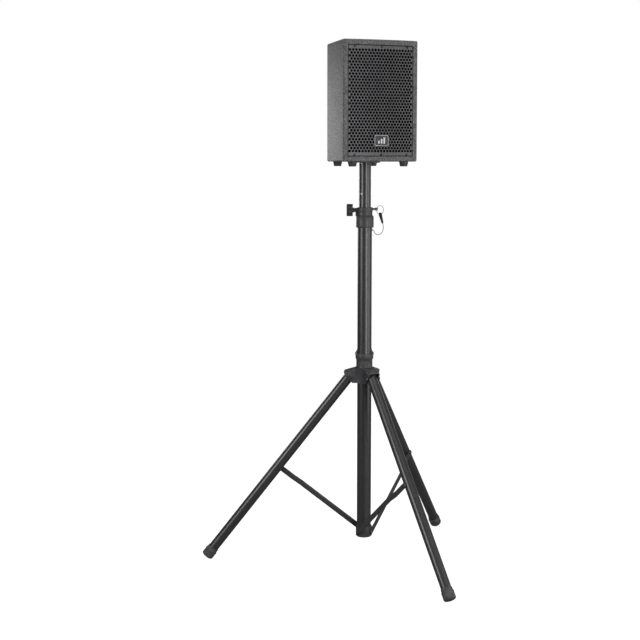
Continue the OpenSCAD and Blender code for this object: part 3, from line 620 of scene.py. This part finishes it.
def make_grille():
    low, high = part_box("front_grille")
    low, high = low + GRILLE_GAP, high - GRILLE_GAP
    width, height = high.x - low.x, high.z - low.z
    points, edges = [], []

    def loop(ring):
        first = len(points)
        points.extend(Vector(p) for p in ring)
        count = len(ring)
        edges.extend((first + i, first + (i + 1) % count) for i in range(count))

    across, up = 26, 4
    border = [(width * i / across, 0) for i in range(across)]
    border += [(width, height * i / up) for i in range(up)]
    border += [(width - width * i / across, height) for i in range(across)]
    border += [(0, height - height * i / up) for i in range(up)]
    loop(border)
    rows = grille_rows(width)
    for cx, cz in [hole for row in rows for hole in row]:
        loop([(cx + HOLE_R * math.cos(2 * math.pi * k / HOLE_SIDES),
               cz + HOLE_R * math.sin(2 * math.pi * k / HOLE_SIDES)) for k in range(HOLE_SIDES)])
    flat, _, faces, _, _, _ = geometry.delaunay_2d_cdt(points, edges, [], 1, 1e-7)

    def in_hole(face):
        mid = sum((flat[i] for i in face), Vector((0, 0))) / len(face)
        row = round((mid.y - BOTTOM_STRIP) / ROW_PITCH)
        near = [hole for r in rows[max(row - 1, 0):row + 2] for hole in r]
        return any((mid.x - cx) ** 2 + (mid.y - cz) ** 2 < (0.97 * HOLE_R) ** 2 for cx, cz in near)

    kept = [f for f in faces if not in_hole(f)]
    bm = bmesh.new()
    front, back = [], []
    for p in flat:
        x = p.x - width / 2
        y = bow_y(x, GRILLE_RECESS)
        outward = Vector((x, y - BOW_CENTRE, 0)).normalized()
        spot = Vector((CAB_X + x, y, low.z + p.y))
        front.append(bm.verts.new(spot))
        back.append(bm.verts.new(spot - outward * GRILLE_SHEET))
    for f in kept:
        bm.faces.new([front[i] for i in f])
        bm.faces.new([back[i] for i in reversed(f)])
    twin = dict(zip(front, back))
    rims = [e for e in bm.edges if e.is_boundary and e.verts[0] in twin and e.verts[1] in twin]
    for e in rims:
        l = e.link_loops[0]
        a, b = l.vert, l.link_loop_next.vert
        bm.faces.new((b, a, twin[a], twin[b]))
    loose = [v for v in bm.verts if not v.link_faces]
    bmesh.ops.delete(bm, geom=loose, context="VERTS")
    bmesh.ops.recalc_face_normals(bm, faces=bm.faces)
    grille = from_bmesh("perforated_grille", bm)
    smooth(grille, 30)
    finish_piece(grille, "cabinet", "grille_steel", ("front_grille",))


make_grille()


def bowed_slab(name, half, behind, thick, low, high, across, up, rough):
    """Sheet of foam that follows the bow, its front face pitted by up to rough metres."""
    rng = random.Random(7)
    columns = [-half + 2 * half * i / across for i in range(across + 1)]
    levels = [low + (high - low) * k / up for k in range(up + 1)]
    points = []
    for extra in (0, thick):
        for z in levels:
            for x in columns:
                inner = extra == 0 and z not in (low, high) and abs(x) < half
                pit = rng.uniform(0, rough) if inner else 0
                points.append((CAB_X + x, bow_y(x, behind + extra + pit), z))
    return smooth(from_lists(name, points, slab_faces(across, up)), 50)


def make_foam_backing():
    low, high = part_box("grille_foam")
    slab = bowed_slab("foam_backing", (high.x - low.x) / 2, GRILLE_RECESS + GRILLE_SHEET + 0.1 * MM, 2.3 * MM,
                      low.z, high.z, 90, 130, 0.5 * MM)
    finish_piece(slab, "cabinet", "foam", ("grille_foam",))


make_foam_backing()


# ---------------------------------------------------------------- badge
BADGE_BAR_HEIGHTS = (0.36, 0.58, 0.80)     # of the field's height


def make_badge():
    low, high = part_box("front_badge")
    width, height, depth = high.x - low.x, high.z - low.z, high.y - low.y
    spot = Matrix.Translation(((low.x + high.x) / 2, high.y, (low.z + high.z) / 2)) @ Matrix.Rotation(
        math.pi / 2, 4, "X")
    edge = 1.3 * MM
    rim = prism("badge_rim", rounded_rectangle(width, height, 4 * MM), 0, depth)
    field_cut = rounded_rectangle(width - 2 * edge, height - 2 * edge, 2.6 * MM)
    cut(rim, prism("recess", field_cut, depth - 0.8 * MM, depth + 1 * MM))
    bevel(rim, 0.25 * MM, 2, 40)
    finish_piece(place(smooth(rim, 40), spot), "cabinet", "badge", ("front_badge",))
    inside = rounded_rectangle(width - 2 * edge - 0.1 * MM, height - 2 * edge - 0.1 * MM, 2.5 * MM)
    field = prism("badge_field_plate", inside, depth - 0.85 * MM, depth - 0.45 * MM)
    bevel(field, 0.1 * MM, 1, 40)
    finish_piece(place(smooth(field, 40), spot), "cabinet", "badge", look=badge_field)
    bars = []
    for i, share in enumerate(BADGE_BAR_HEIGHTS):
        tall = share * (height - 2 * edge) * 0.8
        x = (i - 1) * 8.5 * MM
        foot = -(height / 2 - edge) * 0.64
        outline = [(x + px, foot + tall / 2 + py) for px, py in rounded_rectangle(5 * MM, tall, 1.2 * MM)]
        bars.append(prism("bar", outline, depth - 0.5 * MM, depth - 0.1 * MM))
    marks = bevel(join("badge_level_bars", bars), 0.12 * MM, 2, 40)
    finish_piece(place(smooth(marks, 40), spot), "cabinet", "badge", look=badge_mark)


make_badge()


# ---------------------------------------------------------------- mouldings with rounded edges
# node: (piece, edge radius in millimetres, segments[, its own look])
REFINED = {
    "top_collar": ("collar_moulding", 0.7, 3),
    "base_collar": ("base_moulding", 0.9, 3),
    "leg_hub": ("hub_casting", 1.0, 3),
    "hub_clamp_band": ("clamp_band", 0.8, 3),
    "hub_knob": ("hub_knob_grip", 1.2, 3),
    "height_knob": ("height_knob_grip", 1.2, 3),
    "mast_end_plug": ("end_plug", 0.6, 2),
    "cabinet_feet": ("rubber_feet", 1.2, 3),
    "pole_socket": ("pole_cup", 0.6, 2),
    "terminal_plate": ("terminal_dish", 0.6, 2),
    "input_jacks": ("jack_sockets", 0.3, 2),
    "locking_pin": ("pin_shank", 0.4, 2),
    # brace straps: lighter paint, painted light
    "brace_1": ("brace_strap_1", 0.5, 2, painted_light_strap_paint),
    "brace_2": ("brace_strap_2", 0.5, 2, painted_light_strap_paint),
    "brace_3": ("brace_strap_3", 0.5, 2, painted_light_strap_paint),
    # foot boots: lighter rubber, painted light
    "foot_cap_1": ("foot_boot_1", 0.8, 2, painted_light_cap_rubber),
    "foot_cap_2": ("foot_boot_2", 0.8, 2, painted_light_cap_rubber),
    "foot_cap_3": ("foot_boot_3", 0.8, 2, painted_light_cap_rubber),
}


def make_mouldings():
    for node, (name, radius, segments, *look) in REFINED.items():
        piece = refine(node, name, radius * MM, segments)
        finish_piece(piece, BODY_OF[node], SLOT_OF[node], (node,), *look)


make_mouldings()


# ---------------------------------------------------------------- pin ring and stop button
RING_R = 13 * MM
RING_AZIMUTH = PIN_AZIMUTH + math.radians(38)


def make_split_ring():
    """Two turns of spring wire, side by side."""
    low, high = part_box("split_ring")
    middle = (low + high) / 2
    along = Vector((math.cos(RING_AZIMUTH), math.sin(RING_AZIMUTH), 0))
    aside = Vector((-along.y, along.x, 0))
    wire, turns, steps = 0.62 * MM, 2, 72
    line = []
    for i in range(turns * steps + 1):
        a = 2 * math.pi * i / steps + 0.9
        shift = (i / steps - turns / 2) * 2 * wire * 0.96
        line.append(middle + RING_R * (along * math.cos(a) + Vector((0, 0, math.sin(a)))) + aside * shift * 0.5)
    ring = tube("split_ring_coil", line, wire, 10)
    finish_piece(ring, "locking_pin", "zinc_steel", ("split_ring",), ring_wire)


STOP_AZIMUTH = math.radians(210)
STOP_HEIGHT = 1096.5 * MM


def make_stop_button():
    """Bright rivet, almost flush with the pole, that stops it from being drawn right out."""
    low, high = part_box("pole_tube")
    r = (high.x - low.x) / 2
    head = lathe("pole_stop_button", rounded([
        (0, -1.0 * MM), (3.2 * MM, -1.0 * MM), (3.5 * MM, -0.2 * MM), (2.8 * MM, 0.3 * MM), (0, 0.4 * MM)],
        0.3 * MM), 32)
    out = turned(STOP_AZIMUTH, (r, 0, STOP_HEIGHT)) @ Matrix.Rotation(math.pi / 2, 4, "Y")
    finish_piece(place(smooth(head, 40), out), "pole", "zinc_steel", look=badge_mark)


make_split_ring()
make_stop_button()


# ---------------------------------------------------------------- screws with a cross in their heads
# node: (piece, outward direction of the heads, or None where they follow the bow)
SCREWS = {
    "grille_screws": ("grille_screw_set", None),
    "terminal_screws": ("terminal_screw_set", Vector((0, 1, 0))),
    "underside_screws": ("underside_screw_set", Vector((0, 0, -1))),
    "driver_screws": ("driver_screw_set", Vector((0, -1, 0))),
}


def solids_of(node):
    """The corners of each separate solid of a CAD node."""
    bm = bmesh.new()
    bm.from_mesh(NODES[node].data)
    bmesh.ops.remove_doubles(bm, verts=bm.verts, dist=1e-6)
    left, groups = set(bm.verts), []
    while left:
        reached = [left.pop()]
        for v in reached:
            for e in v.link_edges:
                other = e.other_vert(v)
                if other in left:
                    left.remove(other)
                    reached.append(other)
        groups.append([v.co.copy() for v in reached])
    bm.free()
    return groups


def make_screws():
    long, wide, deep = 2.0 * MM, 0.42 * MM, 0.9 * MM
    cross = [(long, -wide), (long, wide), (wide, wide), (wide, long), (-wide, long), (-wide, wide),
             (-long, wide), (-long, -wide), (-wide, -wide), (-wide, -long), (wide, -long), (wide, -wide)]
    for node, (name, out) in SCREWS.items():
        cutters = []
        for corners in solids_of(node):
            middle = sum(corners, Vector()) / len(corners)
            axis = out or Vector((middle.x - CAB_X, middle.y - BOW_CENTRE, 0)).normalized()
            top = max(c.dot(axis) for c in corners)
            head = [c for c in corners if c.dot(axis) > top - 0.1 * MM]
            face = sum(head, Vector()) / len(head)
            turn = Matrix.Rotation(math.radians(37 * len(cutters)), 4, "Z")
            spot = Matrix.Translation(face) @ axis.to_track_quat("Z", "Y").to_matrix().to_4x4() @ turn
            cutters.append(place(prism("cross", cross, -deep, 0.5 * MM), spot))
        screws = cut(refine(node, name, 0.2 * MM, 2, 50), join("crosses", cutters))
        finish_piece(smooth(screws, 40), BODY_OF[node], SLOT_OF[node], (node,))


make_screws()


# ---------------------------------------------------------------- soft parts of the woofer, damping
def make_surround():
    """Half roll of rubber between the cone and the basket, with shallow ribs along it."""
    low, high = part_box("woofer_surround")
    roll = high.y - low.y
    middle, wall, ribs = (high.x - low.x) / 2 - roll, 1.2 * MM, 9
    arc = [math.pi * i / 72 for i in range(73)]
    outer = [roll - 0.25 * MM * math.sin(ribs * a) ** 2 for a in arc]
    profile = [(middle + r * math.cos(a), r * math.sin(a)) for a, r in zip(arc, outer)]
    profile += [(middle + (roll - wall) * math.cos(a), (roll - wall) * math.sin(a)) for a in reversed(arc)]
    spot = Matrix.Translation(((low.x + high.x) / 2, high.y, (low.z + high.z) / 2))
    roll_piece = place(lathe("surround_roll", profile, 144), spot @ Matrix.Rotation(math.pi / 2, 4, "X"))
    finish_piece(smooth(roll_piece, 50), "cabinet", "foam", ("woofer_surround",), SLOT_LOOKS["rubber_black"])


def make_spider():
    """Corrugated cloth ring that centres the voice coil."""
    low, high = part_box("woofer_spider")
    axis = (low + high) / 2
    radii = [math.hypot(v.co.x - axis.x, v.co.z - axis.z) for v in NODES["woofer_spider"].data.vertices]
    inner, outer = min(radii) + 0.1 * MM, max(radii)
    waves, steps, rise, cloth = 6, 96, 1.1 * MM, 0.5 * MM
    line = []
    for i in range(steps + 1):
        t = i / steps
        wave = rise * math.sin(2 * math.pi * waves * t) * math.sin(math.pi * t)
        line.append((inner + (outer - inner) * t, wave))
    profile = [(r, z - cloth / 2) for r, z in line] + [(r, z + cloth / 2) for r, z in reversed(line)]
    spot = Matrix.Translation(axis) @ Matrix.Rotation(math.pi / 2, 4, "X")
    ring = place(lathe("spider_corrugated", profile, 96), spot)
    finish_piece(smooth(ring, 60), "cabinet", "spider_cloth", ("woofer_spider",))


def make_damping():
    """Two slabs of convoluted foam, with rounded peaks and pits towards the middle of the cabinet."""
    corners = [v.co.copy() for v in NODES["damping_foam"].data.vertices]
    low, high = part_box("damping_foam")
    across, up, wave, pit = 55, 150, 22 * MM, 5 * MM
    slabs = []
    for side in (-1, 1):
        own = [c for c in corners if side * (c.x - CAB_X) > 0]
        ends = []
        for y in (low.y, high.y):
            xs = [side * (c.x - CAB_X) for c in own if abs(c.y - y) < 1 * MM]
            ends.append((min(xs), max(xs)))
        points = []
        for layer in (0, 1):
            for k in range(up + 1):
                for i in range(across + 1):
                    t = i / across
                    y, z = low.y + (high.y - low.y) * t, low.z + (high.z - low.z) * k / up
                    x = ends[0][layer] * (1 - t) + ends[1][layer] * t
                    if layer == 0 and 0 < i < across and 0 < k < up:
                        x += pit * (1 - math.cos(2 * math.pi * y / wave) * math.cos(2 * math.pi * z / wave)) / 2
                    points.append((CAB_X + side * x, y, z))
        slabs.append(face_outward(from_lists("slab", points, slab_faces(across, up))))
    finish_piece(smooth(join("damping_slabs", slabs), 50), "cabinet", "foam", ("damping_foam",), damping_look)


make_surround()
make_spider()
make_damping()


# ---------------------------------------------------------------- stage, lights
def make_stage():
    floor = lathe("floor", [(0, -2 * MM), (3.2, -2 * MM), (3.2, 0), (0, 0)], 128)
    floor.location = (MAST.x, MAST.y, -0.5 * MM)
    look = Look("pale_floor", (0.3, 0.3, 0.3), 0.9, specular=0.1)
    look.tint(look.noise(0.5, 2.0), 0.99, 1.01)
    look.shader.inputs["Emission Color"].default_value = (1, 1, 1, 1)
    seen = look.nodes.new("ShaderNodeLightPath").outputs["Is Camera Ray"]
    look.links.new(look.ramp(seen, 0.0, 0.97, 0, 1), look.shader.inputs["Emission Strength"])
    floor.data.materials.append(look.material)


def softbox(name, azimuth, distance, centre_z, width, height, radiance):
    """Soft light at azimuth degrees to the right of the camera's direction, aimed at the mast."""
    data = bpy.data.lights.new(name, "AREA")
    data.shape = "RECTANGLE"
    data.size, data.size_y = width, height
    data.energy = radiance * math.pi * width * height
    light = bpy.data.objects.new(name, data)
    bpy.context.scene.collection.objects.link(light)
    to_camera = math.atan2(camera.location.y - MAST.y, camera.location.x - MAST.x)
    a = to_camera + math.radians(azimuth)
    light.location = MAST + Vector((distance * math.cos(a), distance * math.sin(a), centre_z))
    aim = Vector((MAST.x, MAST.y, centre_z)) - light.location
    light.rotation_euler = aim.to_track_quat("-Z", "Y").to_euler()
    light.visible_camera = False
    return light


def make_lights():
    softbox("left_key", -54, 2.7, 1.4, 0.75, 1.4, 8.0)
    softbox("right_strip", 30, 2.7, 1.1, 0.7, 2.2, 6.8)
    softbox("right_fill", 75, 2.9, 1.1, 1.7, 2.2, 2.2)
    softbox("rear_left_glance", -145, 2.9, 1.2, 1.5, 0.9, 3.0)
    softbox("rear_right_fill", 150, 2.9, 1.2, 1.6, 1.8, 0.8)
    top = softbox("top", 0, 0.01, 3.1, 2.6, 2.6, 1.4)
    top.location = (MAST.x - 0.2, MAST.y - 0.3, 3.1)
    top.rotation_euler = (0, 0, 0)        # straight down
    world = bpy.data.worlds.new("studio")
    world.use_nodes = True
    nodes, links = world.node_tree.nodes, world.node_tree.links
    dim = nodes["Background"]
    dim.inputs["Color"].default_value = (1, 1, 1, 1)
    dim.inputs["Strength"].default_value = 0.06
    white = nodes.new("ShaderNodeBackground")
    white.inputs["Strength"].default_value = 1.0
    white.inputs["Color"].default_value = (1, 1, 1, 1)
    mix = nodes.new("ShaderNodeMixShader")
    rays = nodes.new("ShaderNodeLightPath")
    links.new(rays.outputs["Is Camera Ray"], mix.inputs["Fac"])
    links.new(dim.outputs["Background"], mix.inputs[1])
    links.new(white.outputs["Background"], mix.inputs[2])
    links.new(mix.outputs["Shader"], nodes["World Output"].inputs["Surface"])
    bpy.context.scene.world = world
    bpy.context.scene.view_settings.view_transform = "Standard"


make_stage()
make_lights()
